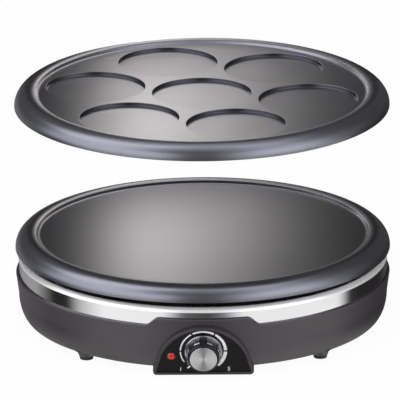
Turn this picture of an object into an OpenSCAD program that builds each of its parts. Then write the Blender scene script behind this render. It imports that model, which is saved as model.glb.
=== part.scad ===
// Electric crepe maker: a round mains base with one heater and two
// interchangeable cooking plates, one flat and one with seven shallow wells.
// Origin: on the table, on the axis of the base. +Z is up, the control
// panel faces -Y. Millimetres.

/* [Plates] */
// Outer diameter of both cooking plates
plate_d = 380; // [340:5:420]
// Wall of the cast plates
plate_t = 3; // [2.5:0.25:3.5]
// Radius of the rolled outer edge of the plates
rim_roll = 16; // [14:1:18]
// Width of the raised rim, from the outer edge to the cooking surface
rim_w = 23; // [22:1:27]
// Depth of the cooking surface below the rim's crest
dish_depth = 3.5; // [2.5:0.5:4.5]
// Free gap between the plate's edge and the steel band below it
rim_gap = 6.4; // [3:0.2:7]
// Height of the lifted plate above the seated one, crest to crest
hover_h = 149.6; // [120:0.1:180]

/* [Wells] */
// Web of flat surface between two wells
well_gap = 9.4; // [8:0.2:16]
// Flat surface left outside the wells
well_margin = 6.7; // [5:0.1:12]
// Depth of each well below the cooking surface
well_depth = 3.5; // [3:0.5:6]
// Width of the sloping well wall
well_bevel = 2; // [2:0.5:6]
// Number of wells in the ring
well_count = 6; // [4:1:6]
// Turn of the ring of wells about the axis, in degrees
well_turn = -11.8; // [-30:0.2:30]

/* [Housing] */
// Radial step from the plate's edge out to the housing's lip
lip_step = -0.4; // [-2:0.2:4]
// Height of the housing from its underside to its lip
housing_h = 47.5; // [44:0.5:52]
// Height of the straight part of the wall below the lip
wall_straight = 20.7; // [16:0.1:26]
// How far the straight wall leans in towards its foot
wall_lean = 2.8; // [1:0.2:5]
// How far the rounded lower edge turns in
under_turn = 13; // [10:1:16]
// Wall thickness of the moulded housing
housing_t = 2.5; // [2:0.1:3]
// Height of the raised lip over the control panel
raise_h = 8.1; // [6:0.1:12]
// Half width of the raised lip at its top
raise_half = 47.2; // [42:0.2:56]
// Width of each sloping end of the raised lip
raise_run = 9; // [7:0.2:14]
// Height of the underside above the table
foot_h = 8.4; // [7:0.1:14]
// Distance of the feet in from the edge of the underside
foot_inset = 7; // [7:0.1:9]
// Radius of a foot where it meets the table
foot_r = 6.6; // [5:0.1:6.9]
// Height of a rubber foot pad
pad_h = 3.6; // [2:0.2:6]

/* [Steel band] */
// Height of the band that shows above the housing's lip
band_show = 19.2; // [18:0.1:24]
// Sheet thickness of the band
band_t = 0.9; // [0.8:0.1:1.2]
// Size of the sloping top edge of the band
band_slope = 3.7; // [2:0.1:5]
// Height of the rolled inner edge of the band
band_curl = 10.5; // [8:0.5:12]
// Width of the band's inner flange
band_flange = 16; // [15:0.5:20]

/* [Heater] */
// Mean radius of the tubular heater's loop
heater_r = 118; // [100:1:130]
// Diameter of the heater tube
heater_d = 7.4; // [6:0.2:8.5]
// Depth of the reflector tray below the band's flange
tray_depth = 21; // [18:1:24]
// Sheet thickness of the reflector tray
tray_t = 0.8; // [0.6:0.1:1.2]
// Angle between the heater's two ends, in degrees
heater_gap_angle = 24; // [20:1:40]
// Bend radius of the heater's ends
heater_bend = 12; // [10:1:16]

/* [Control panel] */
// Lean of the panel's face, in degrees, its top towards the user
panel_lean = 14.5; // [8:0.5:16]
// Distance of the dial's centre in from the housing's lip
dial_inset = 3.1; // [2.6:0.1:5]
// Height of the dial's centre above the housing's underside
dial_rise = 21.6; // [20:0.1:25]
// Radius of the panel's domed top
dome_r = 48.2; // [42:0.2:50]
// Distance of the dome's centre below the dial's centre
dome_drop = 21.2; // [18:0.2:22]
// Distance of the panel's lower edge below the dial's centre
panel_drop = 28.2; // [27:0.2:29]
// Slope of the panel's sides from upright, in degrees
panel_flare = 16; // [10:1:20]
// Radius of the panel's lower corners
panel_corner = 4; // [2:0.5:6]
// Width of the rim round the glossy insert
panel_rim = 2.9; // [2:0.1:4]
// Outer radius of the printed dial
dial_r = 23.8; // [21:0.1:25]
// Sideways distance of the pilot lamp from the dial's centre
lamp_side = 32.4; // [29:0.2:33]
// Distance of the pilot lamp below the dial's centre
lamp_drop = 5.6; // [3:0.2:8]
// Diameter of the pilot lamp's lens
lamp_d = 8; // [6:0.2:9]

/* [Knob] */
// How far the skirt's foot stands out from the grip
skirt_flare = 3.2; // [2.6:0.1:4]
// Diameter of the knob's grip
grip_d = 32; // [28:0.2:32]
// Width of the black edge round the spun metal cap
cap_edge = 2.4; // [1.6:0.1:4]
// Height of the knob above the panel
knob_h = 16.4; // [14:0.2:20]
// Number of windows round the skirt
window_count = 8; // [6:1:10]
// Diameter of the thermostat's shaft
shaft_d = 6; // [5:0.5:6.5]
// Direction of the pointer at the lowest setting, in degrees
pointer_start = 222; // [205:1:240]
// Turn from the lowest to the highest setting, in degrees
knob_turn = 270; // [240:5:290]

/* [Mains inlet] */
// Diameter of the mains lead that the gland takes
lead_d = 7; // [6:0.2:8]
// Height of the gland's axis above the housing's underside
gland_rise = 20; // [18:0.5:22]
// Length of the gland outside the wall
gland_nose = 13.6; // [8:0.2:16]

/* [Hidden] */

fine = 180;
mid = 48;
small = 24;
tiny = 0.01;
seat = 0.3;                        // clearance between pieces that drop together
fit = 0.05;                        // radial clearance of a running fit

plate_r = plate_d / 2;
crest_r = plate_r - rim_roll;
dish_r = plate_r - rim_w;

under_z = foot_h;
lip_z = under_z + housing_h;
waist_z = lip_z - wall_straight;
band_top = lip_z + band_show;
crest_z = band_top + rim_gap + rim_roll;

lip_r = plate_r + lip_step;
waist_r = lip_r - wall_lean;
under_r = waist_r - under_turn;
raised_z = lip_z + raise_h;
function wall_r(z) = waist_r + wall_lean * (z - waist_z) / wall_straight;

// The band stands on a ledge inside the housing, just below its lip.
ledge_z = lip_z - 7;
ledge_h = 2.5;
ledge_w = 5;
wall_in_r = lip_r - housing_t;         // inner face of the wall above the ledge
band_r = wall_in_r - seat;             // outer face of the band
band_round = 0.9;
curl_r = band_r - band_slope - 1.5;    // inner face of the band's rolled edge
flange_z = band_top - band_curl;       // top face of the band's inner flange
flange_r = curl_r - band_flange;

// Reflector tray, hung in the band's flange.
tray_rim_w = 7.5;
tray_wall_run = 9;
tray_z = flange_z - tray_depth;        // top face of the tray's floor
tray_wall_r = flange_r - tray_t - seat;
tray_r = tray_wall_r + tray_rim_w;
tray_floor_r = tray_wall_r - tray_wall_run;
tray_screw_r = (flange_r + tray_r) / 2;

// Plate studs stand on the band's flange.
stud_r = 2.5;
stud_ring_r = (tray_r + curl_r) / 2;
stud_angles = [-146, -34, 34, 146];
boss_r = 5;
boss_drop = 8;                         // seat below the crest
stud_top = crest_z - boss_drop;

// Underside: an inner ledge takes the cover.
cover_r = under_r - 19;
cover_t = 2;
cover_ledge = 14;
screw_ring_r = cover_r - 7;
rib_h = 2.5;
floor_z = under_z + cover_t;
foot_ring_r = under_r - foot_inset;
screw_angles = [22.5, 112.5, 202.5, 292.5];
post_r = 4.2;
post_h = 11;

heater_z = tray_z + 31;
heater_half = heater_gap_angle / 2;
bush_z = tray_z - tray_t;              // underside of the tray's floor
clip_angles = [0, 90, 180];
bulb_r = heater_r - 22;
bulb_d = 5;
bulb_len = 56;
bulb_z = heater_z - 3;

panel_front = 0.8;                     // rim stands this far in front of the insert
insert_t = 1.5;
panel_floor = 2.5;
panel_back = 13;
dial_out = lip_r - dial_inset;
dial_up = under_z + dial_rise;
bush_r = 4.8;
shaft_r = shaft_d / 2;
body_w = 27;
body_h = 24;
body_depth = 19;
body_back = insert_t + panel_floor + 3 + body_depth;
tab_back = body_back + 7;
nut_h = 2.6;
knob_gap = 0.6;                        // running gap between knob and panel
cap_t = 1.2;
cap_sink = 0.5;
grip_r = grip_d / 2;
cap_r = grip_r - cap_edge;
skirt_r = grip_r + skirt_flare;
skirt_top = knob_h - 4.2;
pointer_r = skirt_r + 2.4;
pointer_w = skirt_top - 3.2;

sin_lean = sin(panel_lean);
cos_lean = cos(panel_lean);

function arc(c, r, a0, a1, n) =
    [for (i = [0:n]) let (a = a0 + (a1 - a0) * i / n) [c[0] + r * cos(a), c[1] + r * sin(a)]];
function arc2(c, rx, ry, a0, a1, n) =
    [for (i = [0:n]) let (a = a0 + (a1 - a0) * i / n) [c[0] + rx * cos(a), c[1] + ry * sin(a)]];
function reversed(p) = [for (i = [len(p) - 1:-1:0]) p[i]];

// ---------------------------------------------------------------- sweeps
function unit(v) = v / norm(v);
function heading(p, i) =
    unit(p[min(i + 1, len(p) - 1)] - p[max(i - 1, 0)]);
function side_of(t) = unit(abs(t[2]) < 0.9 ? cross(t, [0, 0, 1]) : cross(t, [0.6, 0.8, 0]));
// Catmull-Rom point between p[i] and p[i + 1]
function spline_point(p, i, u) =
    let (a = p[max(i - 1, 0)], b = p[i], c = p[i + 1], d = p[min(i + 2, len(p) - 1)])
    0.5 * (2 * b + (c - a) * u + (2 * a - 5 * b + 4 * c - d) * u * u
           + (3 * b - 3 * c + d - a) * u * u * u);
function smooth(p, n) = concat(
    [for (i = [0:len(p) - 2], k = [0:n - 1]) spline_point(p, i, k / n)],
    [p[len(p) - 1]]);

module tube(route, r, sides = 8, steps = 3) {
    p = smooth(route, steps);
    rings = len(p);
    points = [for (i = [0:rings - 1])
        let (t = heading(p, i), s = side_of(t), u = cross(t, s))
        for (k = [0:sides - 1]) let (a = 360 * k / sides) p[i] + r * (cos(a) * s + sin(a) * u)];
    walls = [for (i = [0:rings - 2], k = [0:sides - 1], half = [0, 1])
        let (m = (k + 1) % sides, low = i * sides, high = low + sides)
        half == 0 ? [low + k, high + m, low + m] : [low + k, high + k, high + m]];
    first = [for (k = [0:sides - 1]) k];
    last = [for (k = [sides - 1:-1:0]) (rings - 1) * sides + k];
    polyhedron(points, concat([first], walls, [last]));
}

// ---------------------------------------------------------------- plates
// Local height 0 is the plane of the rim's crest.
slope_foot = dish_r - 1.5;
crest_in = crest_r - 3;

// One well in the middle and a ring round it, all the same size
well_r = (dish_r - well_margin - well_gap) / 3;
well_ring_r = 2 * well_r + well_gap;

// Half section of a plate, from the rolled edge in to the radius from_r
module plate_section(from_r) {
    under = dish_depth + plate_t;
    top = concat(
        [[from_r, -dish_depth]],
        arc([slope_foot, 2 - dish_depth], 2, 270, 312, 5),
        arc([crest_in, -3], 3, 130, 90, 5),
        arc([crest_r, -rim_roll], rim_roll, 90, 0, 18));
    bottom = concat(
        arc([crest_r, -rim_roll], rim_roll - plate_t, 0, 90, 14),
        [[crest_in, -plate_t], [slope_foot + 1.2, -under], [from_r, -under]]);
    polygon(concat(top, bottom));
}

module plate_rim(from_r) {
    rotate_extrude($fn = fine) plate_section(from_r);
}

module at_studs() {
    for (a = stud_angles) rotate([0, 0, a]) translate([stud_ring_r, 0, 0]) children();
}

// Cast bosses under the rim, which sit on the studs of the base
module seat_bosses() {
    intersection() {
        at_studs() translate([0, 0, -boss_drop]) cylinder(r = boss_r, h = boss_drop, $fn = mid);
        rotate_extrude($fn = fine)
            polygon(concat(
                [[crest_r - 10, -boss_drop], [crest_r - 10, -plate_t / 2]],
                arc([crest_r, -rim_roll], rim_roll - plate_t / 2, 90, 20, 12),
                [[crest_r + rim_roll - plate_t - 0.5, -boss_drop]]));
    }
}

module flat_plate() {
    color("#4a4a54") translate([0, 0, crest_z]) {
        plate_rim(0);
        seat_bosses();
    }
}

module well_outline(grow, lift) {
    floor_z = -dish_depth - well_depth;
    polygon([
        [0, floor_z + lift], [well_r - well_bevel + grow, floor_z + lift],
        [well_r + grow, -dish_depth + lift], [well_r + grow, 0], [0, 0]]);
}

module at_wells() {
    children();
    for (i = [0:well_count - 1])
        rotate([0, 0, well_turn + i * 360 / well_count]) translate([well_ring_r, 0, 0]) children();
}

module pancake_plate() {
    color("#45454f") translate([0, 0, crest_z + hover_h]) difference() {
        union() {
            plate_rim(0);
            seat_bosses();
            at_wells() rotate_extrude($fn = 96) intersection() {
                well_outline(plate_t * 0.6, -plate_t);
                translate([0, -rim_roll]) square([2 * well_r, rim_roll - dish_depth - plate_t / 2]);
            }
        }
        at_wells() rotate_extrude($fn = 96) well_outline(0, 0);
    }
}

// ---------------------------------------------------------------- housing
module housing_section(top_z) {
    top_r = wall_r(top_z);
    t = housing_t;
    outer = concat(
        [[under_r, under_z]],
        arc2([waist_r - under_turn, waist_z], under_turn, waist_z - under_z, -78, 0, 12),
        [[top_r, top_z - 0.8]],
        [[top_r - 0.5, top_z - 0.15], [top_r - 1, top_z]]);
    inner = concat(
        [[top_r - t, top_z], [wall_in_r, lip_z], [wall_in_r, ledge_z], [waist_r - t, waist_z + 2]],
        arc2([waist_r - under_turn, waist_z], under_turn - t, waist_z - under_z - t, 0, -90, 10));
    polygon(concat(outer, inner));
}

// Right half of the raised lip over the panel, drawn in X and Z
module raised_region() {
    r = 3.6;
    turn = atan2(raise_h, raise_run);
    x0 = raise_half - r * 0.6;
    x1 = raise_half + raise_run + r * 0.6;
    polygon(concat(
        [[-1, ledge_z], [x1, ledge_z]],
        reversed(arc([x1, lip_z + r], r, 270 - turn, 270, 6)),
        arc([x0, raised_z - r], r, 90 - turn, 90, 6),
        [[-1, raised_z]]));
}

// Space of the steel band and its ledge, which the panel stays out of
module band_space(grow) {
    translate([0, 0, ledge_z - ledge_h - grow]) cylinder(r = wall_in_r + grow, h = housing_h, $fn = fine);
}

module panel_hole() {
    difference() {
        on_panel(-panel_back - seat, panel_back + 60) panel_outline(seat);
        band_space(0);
    }
}

module foot_cone() {
    cylinder(r1 = foot_r + 0.9, r2 = foot_r + 4.4, h = foot_h + 4 - pad_h, $fn = mid);
}

module at_feet() {
    for (a = [45:90:315]) rotate([0, 0, a]) translate([foot_ring_r, 0, 0]) children();
}

module at_cover_screws() {
    for (a = screw_angles) rotate([0, 0, a]) translate([screw_ring_r, 0, 0]) children();
}

// A round on the gland's axis, from y0 to y1
module inlet(r, y0, y1) {
    translate([0, y0, gland_up]) rotate([-90, 0, 0]) cylinder(r = r, h = y1 - y0, $fn = mid);
}

module base_housing() {
    color("#4c474c") difference() {
        union() {
            // wall, with the lip raised over the panel
            rotate_extrude($fn = fine) housing_section(lip_z);
            intersection() {
                rotate_extrude($fn = fine) housing_section(raised_z);
                rotate([90, 0, 0]) translate([0, 0, plate_r / 2]) linear_extrude(plate_r)
                    for (s = [0, 1]) mirror([s, 0, 0]) raised_region();
            }
            // ledge that carries the steel band
            rotate_extrude($fn = fine) translate([wall_in_r - ledge_w, ledge_z - ledge_h])
                square([ledge_w + 0.5, ledge_h]);
            // flat seat for the cord gland
            inlet(gland_seat_r, gland_y - gland_seat_h, gland_y);
            // underside, stepped for the cover
            rotate_extrude($fn = fine) {
                translate([cover_r + seat, under_z])
                    square([under_r - cover_r - seat + 1, housing_t]);
                translate([cover_r - cover_ledge, under_z + cover_t])
                    square([cover_ledge + 8, housing_t]);
            }
            at_cover_screws() translate([0, 0, under_z + cover_t]) cylinder(r = post_r, h = post_h, $fn = small);
            intersection() {
                at_feet() translate([0, 0, pad_h]) foot_cone();
                cylinder(r = 2 * plate_r, h = foot_h + 1.5);
            }
        }
        panel_hole();
        inlet(gland_thread_r + 0.2, gland_y - 2 * gland_seat_h, gland_y + 1);
        at_cover_screws() translate([0, 0, under_z - 1]) cylinder(r = 1.6, h = post_h + 1, $fn = small);
    }
}

module bottom_cover() {
    vents = 10;
    color("#3a3a3c") difference() {
        union() {
            translate([0, 0, under_z]) cylinder(r = cover_r, h = cover_t, $fn = fine);
            for (r = [60, cover_r - 17]) translate([0, 0, floor_z - tiny]) difference() {
                cylinder(r = r + 1, h = rib_h, $fn = fine);
                translate([0, 0, -1]) cylinder(r = r - 1, h = rib_h + 2, $fn = fine);
            }
        }
        for (side = [0, 180], i = [0:vents - 1]) rotate([0, 0, side]) {
            x = -54 + i * 12;
            translate([x - 1.6, 78, under_z - 1]) cube([3.2, 24, cover_t + 2]);
        }
        at_cover_screws() translate([0, 0, under_z - 1]) cylinder(r = 2, h = cover_t + 2, $fn = small);
    }
}

module pan_head(r, h, shank_r, shank_h) {
    difference() {
        union() {
            cylinder(r1 = r, r2 = r * 0.75, h = h, $fn = small);
            translate([0, 0, -shank_h]) cylinder(r = shank_r, h = shank_h + tiny, $fn = small);
        }
        for (a = [0, 90]) rotate([0, 0, a]) translate([-r * 0.55, -0.4, h * 0.5])
            cube([r * 1.1, 0.8, h]);
    }
}

module cover_screws() {
    color("silver") at_cover_screws() translate([0, 0, under_z]) rotate([180, 0, 0])
        pan_head(3.6, 2, 1.5, 9.5);
}

module foot_pads() {
    color("#2a2a2a") at_feet() rotate_extrude($fn = mid)
        polygon(concat([[0, pad_h], [0, 0]], arc([foot_r - 1, 1], 1, -90, 0, 4),
                       [[foot_r + 0.7, pad_h]]));
}

// ---------------------------------------------------------------- band, tray
module steel_band() {
    t = band_t;
    round = band_round;
    miter = tan(22.5);
    slope_out = [band_r - round, band_top - band_slope - round * miter];
    slope_in = [band_r - band_slope - round * miter, band_top - round];
    color("#c8c8cc") difference() {
        rotate_extrude($fn = fine) polygon(concat(
            [[band_r - t, ledge_z], [band_r, ledge_z]],
            arc(slope_out, round, 0, 45, 3),
            arc(slope_in, round, 45, 90, 3),
            arc([curl_r + 0.5, band_top - 0.5], 0.5, 90, 180, 3),
            [[curl_r, flange_z], [flange_r, flange_z], [flange_r, flange_z - t],
             [curl_r + t, flange_z - t], [curl_r + t, band_top - t],
             [band_r - band_slope - t * miter, band_top - t],
             [band_r - t, band_top - band_slope - t * miter]]));
        at_tray_screws() translate([0, 0, flange_z - 3]) cylinder(r = 1.7, h = 6, $fn = small);
        at_studs() translate([0, 0, flange_z - 3]) cylinder(r = stud_r - 0.8, h = 6, $fn = small);
    }
}

module at_tray_screws() {
    for (a = [0:90:270]) rotate([0, 0, a]) translate([tray_screw_r, 0, 0]) children();
}

module at_heater_ends() {
    for (s = [0, 1]) mirror([s, 0, 0]) rotate([0, 0, -90 + heater_half])
        translate([heater_r, -heater_bend, 0]) children();
}

module reflector_tray() {
    t = tray_t;
    z = tray_z;
    color("#b4b4b6") difference() {
        rotate_extrude($fn = fine) polygon([
            [0, z - t], [tray_floor_r + 0.3, z - t], [tray_wall_r + t, flange_z - t + 0.4],
            [tray_wall_r + t, flange_z], [tray_r, flange_z], [tray_r, flange_z + t],
            [tray_wall_r, flange_z + t], [tray_wall_r, flange_z - t + 0.6],
            [tray_floor_r, z], [0, z]]);
        at_tray_screws() translate([0, 0, flange_z - 3]) cylinder(r = 1.7, h = 8, $fn = small);
        at_heater_ends() translate([0, 0, z - 5]) cylinder(r = 6.2, h = 10, $fn = mid);
        translate([capillary_hole[0], capillary_hole[1], z - 5]) cylinder(r = 2, h = 10, $fn = small);
        translate([0, earth_y, z - 5]) cylinder(r = 2.2, h = 10, $fn = small);
    }
}

module tray_screws() {
    color("silver") at_tray_screws() translate([0, 0, flange_z + tray_t]) pan_head(3, 1.6, 1.5, 5);
}

module plate_studs() {
    color("#d0d0d2") at_studs() {
        translate([0, 0, flange_z]) cylinder(r = stud_r, h = stud_top - flange_z, $fn = mid);
        translate([0, 0, flange_z - band_t - 2]) cylinder(r = stud_r - 1, h = band_t + 2 + tiny, $fn = small);
        translate([0, 0, flange_z - band_t - 2]) cylinder(r = stud_r + 1, h = 2, $fn = small);
    }
}

// ---------------------------------------------------------------- heater
module heating_element() {
    r = heater_d / 2;
    leg_top = heater_z - heater_bend;
    color("#6e6a66") {
        rotate([0, 0, -90 + heater_half]) translate([0, 0, heater_z])
            rotate_extrude(angle = 360 - heater_gap_angle, $fn = fine)
                translate([heater_r, 0]) circle(r = r, $fn = small);
        for (s = [0, 1]) mirror([s, 0, 0]) rotate([0, 0, -90 + heater_half])
            translate([heater_r, 0, leg_top]) rotate([90, 0, -90])
                rotate_extrude(angle = 90, $fn = mid)
                    translate([heater_bend, 0]) circle(r = r, $fn = small);
        at_heater_ends() translate([0, 0, bush_z - 8])
            cylinder(r = r, h = leg_top - bush_z + 8, $fn = small);
    }
}

module heater_bushes() {
    color("#efe9dc") at_heater_ends() translate([0, 0, bush_z]) difference() {
        union() {
            translate([0, 0, -4]) cylinder(r = 8.4, h = 4, $fn = mid);
            translate([0, 0, -tiny]) cylinder(r = 6, h = tray_t + 3, $fn = mid);
        }
        translate([0, 0, -5]) cylinder(r = heater_d / 2 + fit, h = 12, $fn = small);
    }
}

module heater_terminals() {
    color("#c0b070") at_heater_ends() translate([0, 0, bush_z - 8]) {
        translate([0, 0, -3]) cylinder(r = 2, h = 3, $fn = small);
        translate([-3.1, -0.4, -10]) cube([6.2, 0.8, 7 + tiny]);
    }
}

// Spring-steel saddles that hold the loop above the tray
module heater_clips() {
    leg_h = heater_z - tray_z;
    r = heater_d / 2;
    color("#9a9a9c") for (a = clip_angles) rotate([0, 0, a]) translate([heater_r, 0, tray_z]) {
        difference() {
            union() {
                translate([-7, -4, 0]) cube([14, 8, 0.8]);
                translate([-1, -4, 0]) cube([2, 8, leg_h - r]);
                translate([0, 4, leg_h]) rotate([90, 0, 0]) cylinder(r = r + 1.2, h = 8, $fn = mid);
            }
            translate([0, 5, leg_h]) rotate([90, 0, 0]) cylinder(r = r + 0.15, h = 10, $fn = mid);
            translate([-8, -5, leg_h + r * 0.45]) cube([16, 10, 8]);
        }
    }
}

// ---------------------------------------------------------------- sensing
bulb_turn = 150;                       // direction of the bulb, in degrees
capillary_hole = [-bulb_r * 1.09, 6, tray_z - tray_t / 2];
module sensor_bulb() {
    color("#b87333") rotate([0, 0, bulb_turn]) translate([bulb_r, -bulb_len / 2, bulb_z])
        rotate([-90, 0, 0]) cylinder(r = bulb_d / 2, h = bulb_len, $fn = small);
}

module bulb_clips() {
    color("#9a9a9c") rotate([0, 0, bulb_turn]) for (y = [-18, 18])
        translate([bulb_r, y, tray_z]) {
            h = bulb_z - tray_z;
            difference() {
                union() {
                    translate([-5, -3, 0]) cube([10, 6, 0.8]);
                    translate([-0.8, -3, 0]) cube([1.6, 6, h - bulb_d / 2]);
                    translate([0, 3, h]) rotate([90, 0, 0]) cylinder(r = bulb_d / 2 + 1, h = 6, $fn = small);
                }
                translate([0, 4, h]) rotate([90, 0, 0]) cylinder(r = bulb_d / 2 + 0.1, h = 8, $fn = small);
                translate([-5, -4, h + bulb_d * 0.3]) cube([10, 8, 6]);
            }
        }
}

// ---------------------------------------------------------------- panel
side_reach = panel_corner - panel_drop + dome_drop;
corner_u = (dome_r - panel_corner - side_reach * sin(panel_flare)) / cos(panel_flare);

module panel_outline(grow) {
    corner_v = panel_corner - panel_drop;
    polygon(concat(
        arc([corner_u, corner_v], panel_corner + grow, -90, panel_flare, 6),
        arc([0, -dome_drop], dome_r + grow, panel_flare, 180 - panel_flare, 28),
        arc([-corner_u, corner_v], panel_corner + grow, 180 - panel_flare, 270, 6)));
}

// Places an outline in the panel's plane, from height w to w + h
module on_panel(w, h) {
    panel_place() translate([0, 0, w]) linear_extrude(h) children();
}

// Local X is sideways, local Y up the panel, local Z out of it
module panel_place() {
    translate([0, -dial_out, dial_up]) rotate([90 + panel_lean, 0, 0]) children();
}

module lamp_place() {
    panel_place() translate([-lamp_side, -lamp_drop, 0]) children();
}

module control_panel_frame() {
    color("#454045") difference() {
        on_panel(-panel_back, panel_back + panel_front) panel_outline(0);
        band_space(seat);
        on_panel(-insert_t, insert_t + panel_front + 1) panel_outline(-panel_rim);
        on_panel(-panel_back - 1, panel_back + 1 - insert_t - panel_floor)
            panel_outline(-housing_t);
        panel_place() translate([0, 0, -panel_back]) cylinder(r = bush_r + fit, h = 20, $fn = mid);
        lamp_place() translate([0, 0, -panel_back]) cylinder(r = lamp_d / 2 + 1, h = 20, $fn = mid);
    }
}

module panel_insert() {
    color("#141416") difference() {
        on_panel(-insert_t, insert_t) panel_outline(-panel_rim - 0.15);
        panel_place() translate([0, 0, -5]) cylinder(r = bush_r + fit, h = 10, $fn = mid);
        lamp_place() translate([0, 0, -5]) cylinder(r = lamp_d / 2 + 1, h = 10, $fn = mid);
    }
}

// Printed dial: five segments that widen from the lowest to the highest setting
scale_start = 214;
scale_end = -50;
scale_breaks = [180, 120, 60, 0];
function scale_w(a) = let (u = (scale_start - a) / (scale_start - scale_end)) 1.2 + 3.1 * u * u;

module dial_segment(a0, a1) {
    n = 12;
    angles = [for (i = [0:n]) a0 + (a1 - a0) * i / n];
    polygon(concat(
        [for (a = angles) dial_r * [cos(a), sin(a)]],
        [for (a = reversed(angles)) (dial_r - scale_w(a)) * [cos(a), sin(a)]]));
}

module dial_scale() {
    gap = 2.2;
    starts = concat([scale_start], [for (b = scale_breaks) b - gap]);
    ends = concat([for (b = scale_breaks) b + gap], [scale_end]);
    color("white") on_panel(0, 0.15) for (i = [0:len(starts) - 1])
        dial_segment(starts[i], ends[i]);
}

module pilot_lamp_bezel() {
    r = lamp_d / 2;
    color("#2a2224") lamp_place() difference() {
        union() {
            cylinder(r1 = r + 1.9, r2 = r + 1.4, h = 1, $fn = mid);
            translate([0, 0, -9]) cylinder(r = r + 0.9, h = 9 + tiny, $fn = mid);
        }
        translate([0, 0, -10]) cylinder(r = r + fit, h = 12, $fn = mid);
    }
}

module pilot_lamp_lens() {
    r = lamp_d / 2;
    dome = 1.8;
    ball = (r * r + dome * dome) / (2 * dome);
    color("#c81e14") lamp_place() intersection() {
        translate([0, 0, -4]) cylinder(r = r, h = 4 + 1 + dome, $fn = mid);
        translate([0, 0, 1 + dome - ball]) sphere(r = ball, $fn = 64);
    }
}

module pilot_lamp_body() {
    color("#d8d4cc") lamp_place() translate([0, 0, -22]) {
        cylinder(r = lamp_d / 2, h = 18, $fn = mid);
        for (x = [-1.8, 1.8]) translate([x, 0, -5]) cylinder(r = 0.5, h = 5 + tiny, $fn = small);
    }
}

tab_x = body_w / 2 - 3.6;
module thermostat_body() {
    back = insert_t + panel_floor;
    color("#e2ddd0") panel_place() difference() {
        union() {
            translate([0, 0, -back - 1]) cylinder(r = bush_r, h = back + nut_h + 1.6, $fn = mid);
            translate([0, 0, -back - 3]) cylinder(r = 9.5, h = 3, $fn = mid);
            translate([-body_w / 2, -body_h / 2, -body_back])
                cube([body_w, body_h, body_depth + tiny]);
            for (s = [-1, 1]) translate([s * tab_x - 0.4, -3.1, -tab_back])
                cube([0.8, 6.2, tab_back - body_back + 1]);
        }
        translate([0, 0, -back - 9]) cylinder(r = shaft_r + fit, h = 30, $fn = small);
    }
}

module thermostat_nut() {
    color("#c4c4c6") panel_place() difference() {
        cylinder(r = 8, h = nut_h, $fn = 6);
        translate([0, 0, -1]) cylinder(r = bush_r + fit, h = nut_h + 2, $fn = mid);
    }
}

// ---------------------------------------------------------------- knob
shaft_in = insert_t + panel_floor + 8.5;
shaft_out = 8.5;
module thermostat_shaft() {
    color("#bcbcc0") panel_place() translate([0, 0, -shaft_in])
        cylinder(r = shaft_r, h = shaft_in + shaft_out, $fn = small);
}

module knob_core() {
    r = grip_r;
    top = knob_h - cap_t + cap_sink;
    color("#17171a") panel_place() difference() {
        union() {
            rotate_extrude($fn = mid) polygon([
                [0, knob_gap], [r, knob_gap], [r, top - 2.2], [r - 0.5, top - 0.8],
                [r - 1.1, top], [0, top]]);
            rotate([0, 0, pointer_start]) translate([0, -1.4, knob_gap])
                cube([pointer_r, 2.8, pointer_w - knob_gap]);
        }
        translate([0, 0, top - cap_sink]) cylinder(r = cap_r + 0.1, h = 3, $fn = mid);
        translate([0, 0, -1]) cylinder(r = 9.2, h = nut_h + 2.6, $fn = mid);
        cylinder(r = shaft_r + 0.02, h = shaft_out + 0.1, $fn = small);
    }
}

module knob_skirt() {
    r = grip_r + 0.1;
    out = skirt_r;
    color("#9c9ca2") panel_place() difference() {
        rotate_extrude($fn = mid) polygon([
            [r, knob_gap], [out - 0.3, knob_gap], [out, knob_gap + 0.4], [out, knob_gap + 1.1],
            [out - 0.6, knob_gap + 1.7], [r + 1.5, skirt_top - 1], [r + 0.7, skirt_top],
            [r, skirt_top]]);
        for (i = [0:window_count - 1]) rotate([0, 0, 90 + i * 360 / window_count])
            translate([r - 1, -3.5, knob_gap + 2]) cube([8, 7, skirt_top - knob_gap - 3.6]);
        rotate([0, 0, pointer_start]) translate([r - 1, -1.5, 0]) cube([10, 3, skirt_top + 1]);
    }
}

module knob_cap() {
    color("#c9c9cd") panel_place() translate([0, 0, knob_h - cap_t]) rotate_extrude($fn = mid)
        polygon([[0, 0], [cap_r, 0], [cap_r, cap_t - 0.35], [cap_r - 0.4, cap_t], [0, cap_t]]);
}

module knob_pointer() {
    color("white") panel_place() rotate([0, 0, pointer_start])
        translate([grip_r + 0.3, -0.7, pointer_w]) cube([pointer_r - grip_r - 0.3, 1.4, 0.5]);
}

// ---------------------------------------------------------------- mains parts
gland_up = under_z + gland_rise;
gland_thread_r = lead_d / 2 + 3;
gland_seat_r = gland_thread_r + 4;
gland_seat_h = 7.5;                    // thickness of the housing under the gland
gland_y = waist_r + 1;

module cord_gland() {
    color("#1e1e20") translate([0, gland_y, gland_up]) rotate([-90, 0, 0]) difference() {
        rotate_extrude($fn = mid) polygon([
            [0, -14], [gland_thread_r, -14], [gland_thread_r, 0], [gland_thread_r + 3, 0],
            [gland_thread_r + 3, 2.6], [gland_thread_r + 1.4, 4.4], [gland_thread_r - 0.8, gland_nose - 1],
            [gland_thread_r - 1.6, gland_nose], [0, gland_nose]]);
        translate([0, 0, -15]) cylinder(r = lead_d / 2 + 0.1, h = gland_nose + 20, $fn = mid);
    }
}

module gland_nut() {
    color("#2a2a2c") translate([0, gland_y - gland_seat_h - 4, gland_up]) rotate([-90, 0, 0]) difference() {
        cylinder(r = gland_thread_r + 3.4, h = 4, $fn = 6);
        translate([0, 0, -1]) cylinder(r = gland_thread_r + fit, h = 6, $fn = mid);
    }
}

block_y = cover_r - 35;
block_w = 34;
block_d = 18;
block_h = 13;
block_ways = [-11, 0, 11];

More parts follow.
